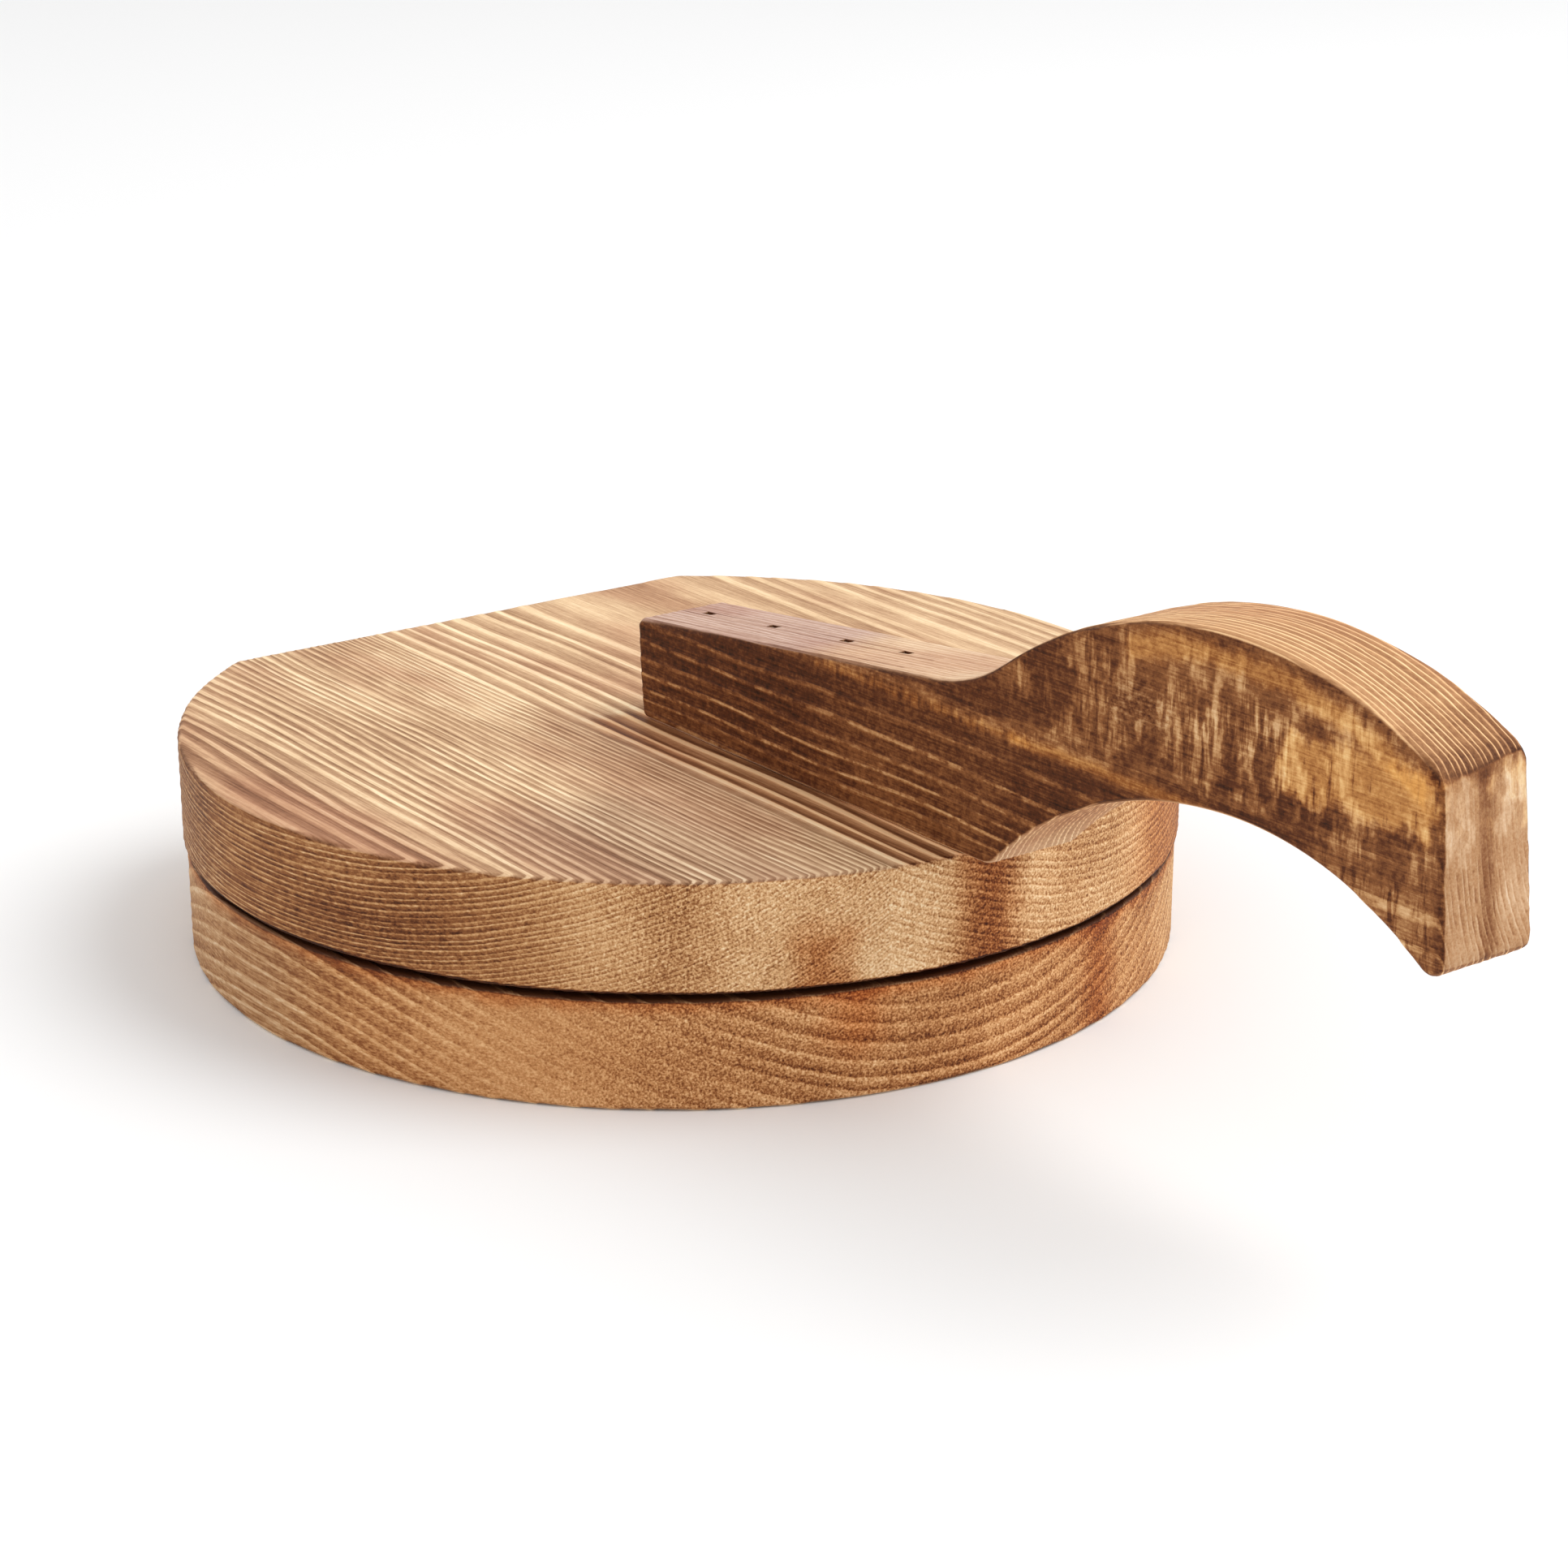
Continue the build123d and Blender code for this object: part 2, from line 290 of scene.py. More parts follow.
def woodMaterial(name, wood, look):
    material, bench, place, normal = startMaterial(name)
    facing = bench.add("ShaderNodeSeparateXYZ", {0: normal}).outputs
    flatness = [bench.maths("ABSOLUTE", axis) for axis in facing]
    top = bench.remap(flatness[2], *woodSpans["top"])
    end = bench.remap(flatness[1], look["endFrom"], look["endTo"])
    rim = bench.maths("SUBTRACT", 1.0, top)
    edge = bench.window(flatness[look["edgeAxis"]], *woodSpans["edge"])
    faces = {"top": top, "rim": rim, "end": end, "edge": edge, "all": 1.0}
    ragged = bench.pattern(place, look["ragScale"], **woodPatterns["ragged"])
    ragged = bench.vector("SUBTRACT", ragged, (0.5, 0.5, 0.5))
    grain = {kind: bench.pattern(place, **woodPatterns[kind]) for kind in ("streaks", "grit", "blotch")}

    def shareOf(mark):
        return markShare(bench, mark, place, ragged, grain, faces)

    def byFace(kind):
        # tops, sides and end grain each have their own value
        side = bench.blend(end, look["side" + kind], look["end" + kind])
        return bench.blend(top, side, look["top" + kind])

    # thin pale lines along the grain, thin dark ones across the end grain
    count = growthRings(bench, place, wood)
    pale = paleShare(bench, count)
    sharp = bench.maths("POWER", pale, bench.blend(end, look["lineSharp"], look["endSharp"]))
    lines = bench.maths("SUBTRACT", sharp, bench.blend(end, look["lineMiddle"], look["endMiddle"]))
    ringNumber = bench.maths("FLOOR", count)
    ringNoise = bench.add("ShaderNodeTexWhiteNoise", {"W": ringNumber}, noise_dimensions="1D")
    lineDepth = bench.remap(ringNoise.outputs["Value"], 0.0, 1.0, *woodSpans["ringDepths"], smooth=False)
    for mark in look["calm"]:
        lineDepth = bench.maths("MULTIPLY", lineDepth, bench.blend(shareOf(mark), 1.0, mark["keep"]))
    # sawn and charred sides break the lines up
    gaps = bench.remap(bench.pattern(place, **woodPatterns["broken"]), *woodSpans["gaps"])
    gaps = bench.maths("MULTIPLY", gaps, bench.maths("MULTIPLY", rim, look["broken"]))
    lineDepth = bench.maths("MULTIPLY", lineDepth, bench.maths("SUBTRACT", 1.0, gaps))
    lines = bench.maths("MULTIPLY", lines, lineDepth)

    patch, fibre, speckle = (
        bench.centred(bench.pattern(place, **woodPatterns[kind])) for kind in ("patch", "fibre", "speckle")
    )
    fine = bench.blend(end, fibre, speckle)
    sides = bench.maths("SUBTRACT", rim, bench.maths("MULTIPLY", rim, end))
    pores = bench.maths("ADD", sides, bench.maths("MULTIPLY", top, look["topGrit"]))
    shade = byFace("Level")
    layers = [
        (lines, byFace("Lines")),
        (patch, look["patches"]),
        (fine, bench.blend(end, look["fine"], look["endFine"])),
        (bench.centred(grain["streaks"]), bench.maths("MULTIPLY", sides, look["sawn"])),
        (bench.centred(grain["grit"]), bench.maths("MULTIPLY", pores, look["grit"])),
        (edge, look["edgeDepth"]),
    ]
    hues = []
    for mark in look["marks"]:
        share = shareOf(mark)
        layers.append((share, mark["depth"]))
        if "hue" in mark:
            hues.append((share, mark["hue"]))
    for layer, pull in layers:
        shade = bench.maths("ADD", shade, bench.maths("MULTIPLY", layer, pull))
    cloud = bench.remap(bench.pattern(place, **woodPatterns["cloud"]), *woodSpans["cloud"])
    hues.append((bench.maths("MULTIPLY", cloud, top), look["cloudHue"]))
    colour = bench.tint(top, bench.ramp(shade, look["sideColours"]), bench.ramp(shade, look["topColours"]))
    for share, hue in hues:
        colour = bench.tint(share, colour, hue, "MULTIPLY")

    ringHeight = bench.maths("MULTIPLY", pale, woodRelief["pale"])
    height = bench.maths("ADD", ringHeight, bench.maths("MULTIPLY", fine, woodRelief["fine"]))
    rough = bench.remap(shade, 0.0, 1.0, look["roughDark"], look["roughPale"], smooth=False)
    shader = finishShader(bench, colour, rough, height, look["bump"], woodRelief["distance"])
    shader.inputs["Specular IOR Level"].default_value = look["gloss"]
    return material


scorchedColours = [
    (0.0, tone(40, 19, 9)), (0.2, tone(92, 48, 24)), (0.4, tone(146, 92, 52)),
    (0.58, tone(196, 145, 95)), (0.78, tone(232, 190, 141)), (1.0, tone(254, 230, 190)),
]
brushedColours = [
    (0.0, tone(80, 44, 24)), (0.25, tone(138, 98, 66)), (0.45, tone(178, 138, 102)),
    (0.62, tone(208, 170, 132)), (0.8, tone(234, 200, 158)), (1.0, tone(254, 230, 190)),
]
foxy = tone(250, 224, 202)
# a grey tint, also used for the painted glancing sheen on the boards' left rims
greyTintAndSheen = tone(236, 236, 242)
rosy = tone(238, 226, 224)
honey = tone(255, 240, 208)
umber = tone(255, 232, 214)
blush = tone(255, 245, 236)

# Marks are in millimetres. "turn" is in degrees round the rim: 0 at -Y, 90 at +X and -90 at -X.
# "far" is the distance from the Z axis, "bow" that from the line along X through gripCentre.
upperMarks = [
    # painted sheen: the left rim, seen at a glancing angle, paler and greyer
    {"on": "rim", "turn": (-130, -96), "soft": 7, "depth": 0.04, "hue": greyTintAndSheen},
    {"on": "rim", "turn": (-88, -58), "soft": 8, "depth": -0.05},
    {"on": "rim", "turn": (-47, -42), "soft": 4, "depth": 0.06, "rag": 6},
    {"on": "rim", "turn": (-38, -34), "soft": 3, "depth": -0.08, "rag": 8},
    {"on": "rim", "turn": (-31, -27), "soft": 3, "depth": 0.06, "rag": 8},
    {"on": "rim", "turn": (-23, -18.5), "z": (14, 25), "soft": 3, "depth": -0.2, "hue": foxy, "rag": 9},
    {"on": "rim", "turn": (-15, -8), "soft": 3, "depth": 0.09, "rag": 4},
    {"on": "rim", "turn": (-4.5, 1.5), "soft": 2.8, "depth": -0.27, "hue": foxy, "rag": 4},
    {"on": "rim", "turn": (24, 80), "soft": 7, "depth": -0.1, "hue": foxy},
    # painted shade: a near-black band on the upper board's lower face and rim edge, where the gap to the
    # lower board lies in shade
    {"on": "all", "far": (72.4, 90), "z": (16, 17.2), "soft": 0.3, "depth": -0.8},
    {"on": "top", "x": (-90, -62), "soft": 5, "depth": -0.05, "hue": rosy},
    {"on": "top", "x": (-54, -26), "y": (-80, -26), "soft": 9, "depth": -0.04, "hue": greyTintAndSheen},
    {"on": "top", "x": (-29, -17.4), "y": (14, 52), "soft": 3, "depth": 0.12, "rag": 9},
    {"on": "top", "x": (-16.5, 90), "soft": 1, "depth": 0.05},
    # partly painted shadow of the handle on the board, partly torch soot: darker and browner just left of the
    # handle
    {"on": "top", "x": (-15.5, -4), "y": (-90, 2), "soft": 2, "depth": -0.12, "hue": umber, "rag": 3},
]
lowerMarks = [
    # painted sheen: the left rim, seen at a glancing angle, paler and greyer
    {"on": "rim", "turn": (-130, -80), "soft": 8, "depth": 0.06, "hue": greyTintAndSheen},
    {"on": "rim", "turn": (-66, -36), "soft": 8, "depth": 0.05},
    {"on": "rim", "turn": (-78, 34), "soft": 10, "depth": -0.03, "hue": blush},
    {"on": "rim", "turn": (-20, -14), "z": (7, 18), "soft": 3, "depth": -0.08, "hue": foxy, "rag": 6},
    {"on": "rim", "turn": (14, 19), "soft": 2.6, "depth": -0.14, "hue": foxy, "rag": 4},
    {"on": "rim", "z": (14.4, 18), "soft": 1.2, "depth": -0.07, "hue": foxy, "rag": 4},
    # painted shade: a near-black band on the lower board's top face and rim edge, where the gap to the upper
    # board lies in shade
    {"on": "all", "far": (71.2, 90), "z": (15.7, 17), "soft": 0.3, "depth": -0.8},
]
handleMarks = [
    {"on": "rim", "y": (-40, 2), "z": (41, 52), "soft": 3, "depth": -0.06, "rag": 6, "streaks": (0.38, 0.6)},
    {"on": "rim", "y": (-84, -46), "z": (28, 49), "soft": 8, "depth": 0.07},
    {"on": "rim", "y": (-120, -84), "z": (50.9, 52.5), "soft": 0.7, "depth": 0.21, "hue": honey, "rag": 2},
    {"on": "rim", "y": (-88, -42), "z": (51.2, 52.6), "soft": 0.9, "depth": 0.2, "hue": honey, "rag": 4,
     "streaks": (0.32, 0.58)},
    {"on": "rim", "y": (-88, -81), "z": (58, 62), "soft": 1.6, "depth": 0.14, "rag": 7},
    {"on": "rim", "y": (-160, -84), "z": (53, 71), "soft": 3, "depth": 0.26, "rag": 12,
     "blotch": (0.47, 0.6), "streaks": (0.32, 0.6)},
    {"on": "rim", "y": (-113, -103), "z": (59, 65), "soft": 2, "depth": 0.14, "hue": greyTintAndSheen, "rag": 7,
     "grit": (0.36, 0.6)},
    {"on": "rim", "y": (-134, -112), "z": (59, 66), "soft": 2.2, "depth": 0.17, "rag": 9,
     "streaks": (0.48, 0.62)},
    {"on": "rim", "y": (-157.5, -133), "z": (58.2, 65.4), "soft": 1.3, "depth": 0.31, "hue": honey, "rag": 9,
     "streaks": (0.24, 0.42)},
    {"on": "rim", "y": (-156, -106), "bow": (60.4, 63.4), "soft": 1, "depth": 0.2, "hue": honey, "rag": 4},
    {"on": "rim", "y": (-158, -138), "z": (40, 52), "soft": 2.5, "depth": 0.24, "rag": 6,
     "streaks": (0.36, 0.52)},
    {"on": "end", "depth": 0.07, "hue": tone(238, 240, 255)},
    {"on": "end", "x": (-1.2, 1.4), "z": (40, 66), "soft": 0.9, "depth": -0.17, "rag": 1.5},
    {"on": "all", "y": (-168, -155), "z": (64.6, 69), "soft": 1.4, "depth": -0.17, "rag": 3},
    {"on": "edge", "y": (-112, -2), "z": (44, 90), "soft": 4, "depth": -0.3},
    # painted reflection: the rear of the handle's top paler and cooler, as if catching a soft sheen
    {"on": "top", "y": (-42, 10), "soft": 6, "depth": 0.12, "hue": tone(222, 216, 242)},
    {"on": "top", "y": (-80, -44), "soft": 6, "depth": 0.13, "hue": tone(244, 240, 246)},
    {"on": "top", "y": (-200, -86), "soft": 12, "depth": -0.06, "hue": tone(255, 238, 220)},
    {"on": "top", "y": (-170, -150), "soft": 3, "depth": -0.16, "rag": 8},
    {"on": "top", "x": (-5.7, -5.3), "y": (-60, 10), "soft": 0.25, "depth": -0.24},
    {"on": "top", "x": (-0.5, -0.1), "y": (-60, 10), "soft": 0.2, "depth": -0.24},
    {"on": "top", "x": (1.3, 1.7), "y": (-60, 10), "soft": 0.2, "depth": -0.24},
]
# how much of the rings' contrast is kept, where they hardly show or stand out
upperCalm = [
    {"on": "top", "x": (21, 33), "soft": 4, "rag": 6, "keep": 0.45},
    {"on": "top", "x": (-16.5, -4), "y": (-90, 4), "soft": 1.2, "keep": 2.0},
    {"on": "top", "x": (8, 90), "soft": 3, "keep": 0.65},
]
lowerCalm = [
    {"on": "rim", "turn": (-62, -34), "soft": 8, "keep": 0.3},
    {"on": "rim", "turn": (-28, 14), "soft": 6, "keep": 1.8},
]
handleCalm = [
    {"on": "rim", "y": (-162, -84), "z": (55, 80), "soft": 4, "rag": 8, "keep": 0.3},
    {"on": "top", "y": (-200, -92), "soft": 8, "keep": 1.6},
]

upperLook = {
    # how pale tops, sides and end grain are, 0 to 1, and how strongly the ring lines show there
    "topLevel": 0.59, "sideLevel": 0.46, "endLevel": 0.63,
    "topLines": 0.48, "sideLines": 0.34, "endLines": 0.3,
    # how thin the lines are, and the paleness that they swing about
    "lineSharp": 1.3, "lineMiddle": 0.4, "endSharp": 0.45, "endMiddle": 0.7,
    "endFrom": 0.45, "endTo": 0.85,  # how far along Y a face looks that is end grain
    # strength of the broad patches, the fibres, the saw marks and the pores
    "patches": 0.42, "fine": 0.7, "endFine": 1.3, "sawn": 0.0, "grit": 0.4, "topGrit": 0.6,
    "broken": 0.3,  # how much of a side's lines is lost in gaps
    "ragScale": (1 / 5, 1 / 5, 1 / 5),  # waves in a millimetre of the marks' torn outlines
    "edgeAxis": 2, "edgeDepth": -0.07,  # sanded edges look partly along this axis
    "gloss": 0.12, "bump": 0.8, "roughDark": 0.55, "roughPale": 0.72,
    "topColours": brushedColours, "sideColours": scorchedColours, "cloudHue": rosy,
    "marks": upperMarks, "calm": upperCalm,
}
lowerLook = dict(
    upperLook, sideLevel=0.56, endLevel=0.58, sideLines=0.28, endLines=0.24,
    marks=lowerMarks, calm=lowerCalm,
)
handleLook = dict(
    upperLook, topLevel=0.65, sideLevel=0.24, endLevel=0.52, topLines=0.42, sideLines=0.36, endLines=0.34,
    lineSharp=3.0, lineMiddle=0.2, endFrom=0.8, endTo=0.95,
    patches=0.34, fine=0.45, endFine=0.3, sawn=0.12, grit=0.6, topGrit=0.4, broken=0.85,
    ragScale=(1 / 4, 1 / 4, 1 / 7), edgeAxis=0, edgeDepth=-0.03, marks=handleMarks, calm=handleCalm,
)

woods = {
    "upper_board": woodMaterial("torchedUpperBoard", upperWood, upperLook),
    "lower_board": woodMaterial("torchedLowerBoard", lowerWood, lowerLook),
    "handle": woodMaterial("torchedHandle", handleWood, handleLook),
}
print("woods made")

# Boards and handle: closed slabs with sanded edges, on a grid fine enough for the brushed grain

boardShape = {
    "columns": 480,
    "topRows": 56,
    "endSpan": 9.0,  # degrees of rim each side of the outermost points, where the grid ends
    "rimRows": 26,
    "edge": 0.75,  # radius of the sanded edge, which wear makes uneven
    "corner": 2.0,  # upright corners at the ends of the flat back
    "relief": 0.10,
}
handleShape = {
    "columns": 420,
    "rows": 40,
    "widthRows": 22,
    "edge": 0.75,
    "relief": 0.10,
    "nearSide": -1.0,  # x below which a packed corner is on the near side
    "levelReach": 0.02,  # corners this close in x are on one outline
    "straightFrom": 2.5,  # a chord this many times its neighbour is a straight run
    "curveSteps": 12,  # points on each chord of the smoothed outline
    "facetDown": -0.9,  # how far towards -Y the end's sanded facet looks at least
    "facetSkew": 0.03,  # and how far sideways
}
weldReach = {"slab": 0.004, "packed": 0.001}  # millimetres
edgeSteps = 4
edgeWear = {"share": 0.3, "span": 9.0}  # how uneven the edges are, and over what length


def wornEdge(radius, point):
    wave = noise.noise(Vector(point) / (edgeWear["span"] * mm))
    return radius * (1 + edgeWear["share"] * wave)


def coons(bottom, top, left, right):
    # grid between four boundary curves, columns along the first two
    u = np.linspace(0, 1, len(bottom))[:, None, None]
    v = np.linspace(0, 1, len(left))[None, :, None]
    across = (1 - v) * bottom[:, None] + v * top[:, None]
    upward = (1 - u) * left[None] + u * right[None]
    corners = (1 - u) * ((1 - v) * bottom[0] + v * top[0]) + u * ((1 - v) * bottom[-1] + v * top[-1])
    return across + upward - corners


def gridFaces(count, rows, first, closed=False):
    # quads of a grid whose vertices are numbered row by row
    wide = count if closed else count - 1
    return [
        (first + r * count + c, first + r * count + (c + 1) % count,
         first + (r + 1) * count + (c + 1) % count, first + (r + 1) * count + c)
        for r in range(rows - 1) for c in range(wide)
    ]


def slab(name, curves, normals, thickness, edge, wallRows, place):
    # curves and normals are bottom, top, left and right of the outline, place puts them in the frame
    ring = np.concatenate([curves[0], curves[3][1:], curves[1][-2::-1], curves[2][-2:0:-1]])
    out = np.concatenate([normals[0], normals[3][1:], normals[1][-2::-1], normals[2][-2:0:-1]])
    worn = np.array([[wornEdge(edge, (*p, side)) for p in ring] for side in (0.0, thickness)])
    turns = np.linspace(0, math.pi / 2, edgeSteps + 1)
    layers = [(worn[0] * (1 - math.sin(t)), worn[0] * (1 - math.cos(t))) for t in turns]
    rise = np.linspace(0, 1, wallRows + 1)[1:-1]
    layers += [(0 * worn[0], worn[0] + s * (thickness - worn[0] - worn[1])) for s in rise]
    layers += [(worn[1] * (1 - math.sin(t)), thickness - worn[1] * (1 - math.cos(t))) for t in turns[::-1]]
    vertices, faces = [], []
    for inset, height in layers:
        vertices.append(place(ring - out * inset[:, None], height))
    count = len(ring)
    faces += gridFaces(count, len(layers), 0, closed=True)
    for side, height in ((0, 0.0), (1, thickness)):
        loop = ring - out * worn[side][:, None]
        k, m = len(curves[0]), len(curves[2])
        bottom, right = loop[:k], loop[k - 1:k + m - 1]
        top = loop[k + m - 2:2 * k + m - 2][::-1]
        left = np.concatenate([loop[:1], loop[2 * k + m - 3:][::-1]])
        grid = coons(bottom, top, left, right).transpose(1, 0, 2).reshape(-1, 2)
        first = sum(len(v) for v in vertices)
        vertices.append(place(grid, np.full(len(grid), height)))
        faces += gridFaces(k, m, first)
    mesh = bpy.data.meshes.new(name)
    mesh.from_pydata(np.concatenate(vertices).tolist(), [], faces)
    work = bmesh.new()
    work.from_mesh(mesh)
    bmesh.ops.remove_doubles(work, verts=work.verts, dist=weldReach["slab"] * mm)
    bmesh.ops.recalc_face_normals(work, faces=work.faces)
    work.to_mesh(mesh)
    work.free()
    mesh.shade_smooth()
    return linked(name, mesh)


def linked(name, data):
    piece = bpy.data.objects.new(name, data)
    bpy.context.scene.collection.objects.link(piece)
    return piece


def boardOutline(radius, flat):
    # bottom is the front of the rim, top the back with the flat, left and right are short ends of the rim
    corner, columns, rows = boardShape["corner"] * mm, boardShape["columns"], boardShape["topRows"]
    share = math.radians(boardShape["endSpan"])
    x = -radius * np.cos(np.linspace(share, math.pi - share, columns))
    front = np.stack([x, -np.sqrt(radius**2 - x**2)], -1)
    centreY = flat - corner
    centreX = math.sqrt((radius - corner) ** 2 - centreY**2)
    onCircle = np.abs(x) > centreX * radius / (radius - corner)
    onFlat = np.abs(x) < centreX
    middle = np.stack([np.sign(x) * centreX, np.full_like(x, centreY)], -1)
    y = np.where(onCircle, -front[:, 1], flat)
    onCorner = ~onCircle & ~onFlat
    y[onCorner] = centreY + np.sqrt(corner**2 - (np.abs(x[onCorner]) - centreX) ** 2)
    back = np.stack([x, y], -1)
    outBack = np.where(onCircle[:, None], back / radius, (back - middle) / corner)
    outBack[onFlat] = (0.0, 1.0)
    turn = np.linspace(-share, share, rows)
    left, right = (radius * np.stack([side * np.cos(turn), np.sin(turn)], -1) for side in (-1, 1))
    return (front, back, left, right), (front / radius, outBack, left / radius, right / radius)


def makeBoard(name, node):
    low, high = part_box(node)
    radius, flat = (high.x - low.x) / 2, high.y
    curves, normals = boardOutline(radius, flat)

    def place(points, height):
        return np.stack([points[:, 0], points[:, 1], low.z + height], -1)
    return slab(name, curves, normals, high.z - low.z, boardShape["edge"] * mm, boardShape["rimRows"], place)


def mergedCopy(node):
    work = bmesh.new()
    work.from_mesh(frame["nodes"][node].data)
    bmesh.ops.remove_doubles(work, verts=work.verts, dist=weldReach["packed"] * mm)
    return work


def sideRing(work):
    # the outline where the near side's sanded edge begins, in order, open only across the end's facet
    depths = [round(v.co.x / mm, 2) for v in work.verts if v.co.x < handleShape["nearSide"] * mm]
    near = min(depths)
    level = max((d for d in set(depths) if d > near), key=depths.count) * mm
    step = {}
    for edge in work.edges:
        if all(abs(v.co.x - level) < handleShape["levelReach"] * mm for v in edge.verts):
            for a, b in (edge.verts, reversed(edge.verts)):
                step.setdefault(a, []).append(b)
    here = min(step, key=lambda v: len(step[v]))
    ring = []
    while here is not None:
        ring.append(here)
        here = next((v for v in step[here] if v not in ring), None)
    return np.array([(v.co.y, v.co.z) for v in ring])


def smoothRing(points):
    # a curve through the corners of a faceted outline, which keeps its long straight runs
    chord = np.roll(points, -1, 0) - points
    length = np.linalg.norm(chord, axis=1)
    unit = chord / length[:, None]
    before, lengthBefore = np.roll(unit, 1, 0), np.roll(length, 1)
    blend = length[:, None] * before + lengthBefore[:, None] * unit
    ratio = handleShape["straightFrom"]
    tangent = np.where((lengthBefore > ratio * length)[:, None], before, blend)
    tangent = np.where((length > ratio * lengthBefore)[:, None], unit, tangent)
    tangent /= np.linalg.norm(tangent, axis=1)[:, None]
    steps = handleShape["curveSteps"]
    t = (np.arange(steps) / steps)[None, :, None]
    p0, p1 = points[:, None], np.roll(points, -1, 0)[:, None]
    t0 = (tangent * length[:, None])[:, None]
    t1 = (np.roll(tangent, -1, 0) * length[:, None])[:, None]
    curve = (2 * t**3 - 3 * t**2 + 1) * p0 + (t**3 - 2 * t**2 + t) * t0
    curve = curve + (3 * t**2 - 2 * t**3) * p1 + (t**3 - t**2) * t1
    return curve.reshape(-1, 2)


def between(ring, start, end, count, byAxis=None):
    # count points of the ring from one index to another, evenly along its length or along one axis
    run = ring[start:end + 1] if end >= start else np.concatenate([ring[start:], ring[:end + 1]])
    if byAxis is None:
        far = np.concatenate([[0], np.cumsum(np.linalg.norm(np.diff(run, axis=0), axis=1))])
    else:
        far = np.abs(run[:, byAxis] - run[0, byAxis])
        far = np.maximum.accumulate(far) + np.arange(len(far)) * 1e-9
    wanted = np.linspace(0, far[-1], count)
    return np.stack([np.interp(wanted, far, run[:, i]) for i in (0, 1)], -1)


def makeHandle(name, node):
    low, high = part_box(node)
    work = mergedCopy(node)
    down, skew = handleShape["facetDown"], handleShape["facetSkew"]
    faces = [f for f in work.faces if f.normal.y < down and abs(f.normal.x) > skew]
    facet = max(faces, key=lambda f: f.calc_area())
    facetPoint, facetOut = facet.calc_center_median(), facet.normal.copy()
    ring = smoothRing(sideRing(work))
    work.free()
    area = np.sum(ring[:, 0] * np.roll(ring[:, 1], -1) - np.roll(ring[:, 0], -1) * ring[:, 1])
    if area > 0:  # so that it runs from the back's foot along the underside to the tip
        ring = ring[::-1]
    y, z = ring.T
    foot, tip, crest, nape = (int(np.argmax(s)) for s in (y - z, -y - z, z - y, y + z))
    columns, rows = handleShape["columns"], handleShape["rows"]
    curves = (
        between(ring, foot, tip, columns, 0),
        between(ring, crest, nape, columns, 0)[::-1],
        between(ring, nape, foot, rows)[::-1],
        between(ring, tip, crest, rows),
    )

    def outwards(curve):
        near = np.argmin(((ring[None] - curve[:, None]) ** 2).sum(-1), 1)
        along = np.roll(ring, -2, 0) - np.roll(ring, 2, 0)
        out = np.stack([-along[:, 1], along[:, 0]], -1)[near]
        return out / np.linalg.norm(out, axis=1)[:, None]
    normals = [outwards(c) for c in curves]

    def place(points, height):
        spots = np.stack([low.x + height, points[:, 0], points[:, 1]], -1)
        past = (spots - np.array(facetPoint)) @ np.array(facetOut)
        spots[:, 1] -= np.maximum(past, 0) / facetOut.y
        return spots
    edge, wallRows = handleShape["edge"] * mm, handleShape["widthRows"]
    return slab(name, curves, normals, high.x - low.x, edge, wallRows, place)


def brushRelief(piece, wood, depth, material):
    # wire brushing wears the pale early wood down between the late lines
    tree = bpy.data.node_groups.new("brushedRelief", "GeometryNodeTree")
    tree.interface.new_socket("Wood", in_out="INPUT", socket_type="NodeSocketGeometry")
    depthInput = tree.interface.new_socket("Depth", in_out="INPUT", socket_type="NodeSocketFloat")
    materialInput = tree.interface.new_socket("Finish", in_out="INPUT", socket_type="NodeSocketMaterial")
    tree.interface.new_socket("Wood", in_out="OUTPUT", socket_type="NodeSocketGeometry")
    bench = Bench(tree)
    entry = bench.add("NodeGroupInput").outputs
    place = bench.scaled(bench.add("GeometryNodeInputPosition").outputs[0], millimetres)
    worn = bench.maths("SUBTRACT", 1.0, paleShare(bench, growthRings(bench, place, wood)))
    dip = bench.maths("MULTIPLY", bench.maths("MULTIPLY", worn, entry["Depth"]), -1.0)
    normal = bench.add("GeometryNodeInputNormal").outputs[0]
    offset = bench.add("ShaderNodeVectorMath", {0: normal, 3: dip}, operation="SCALE")
    moved = bench.add("GeometryNodeSetPosition", {"Geometry": entry["Wood"], "Offset": offset.outputs[0]})
    real = bench.add("GeometryNodeRealizeInstances", {0: moved.outputs[0]})
    done = bench.add("GeometryNodeSetMaterial", {"Geometry": real.outputs[0], "Material": entry["Finish"]})
    bench.add("NodeGroupOutput", {0: done.outputs[0]})
    modifier = piece.modifiers.new("brushedRelief", "NODES")
    modifier.node_group = tree
    modifier[depthInput.identifier] = depth * mm
    modifier[materialInput.identifier] = material
    settle(piece)


def settle(piece):
    # the evaluated shape becomes the piece's own plain mesh
    evaluated = piece.evaluated_get(bpy.context.evaluated_depsgraph_get())
    shape = bpy.data.meshes.new_from_object(evaluated)
    shape.name = piece.name
    piece.modifiers.clear()
    piece.data = shape


boreShape = {
    "fit": 0.02,  # millimetres round each fastener
    "bradLift": 1.2,  # how far the tops of the brads' pockets are carried up
    "topFrom": 0.3,  # a corner whose normal looks up more than this is on a top
}


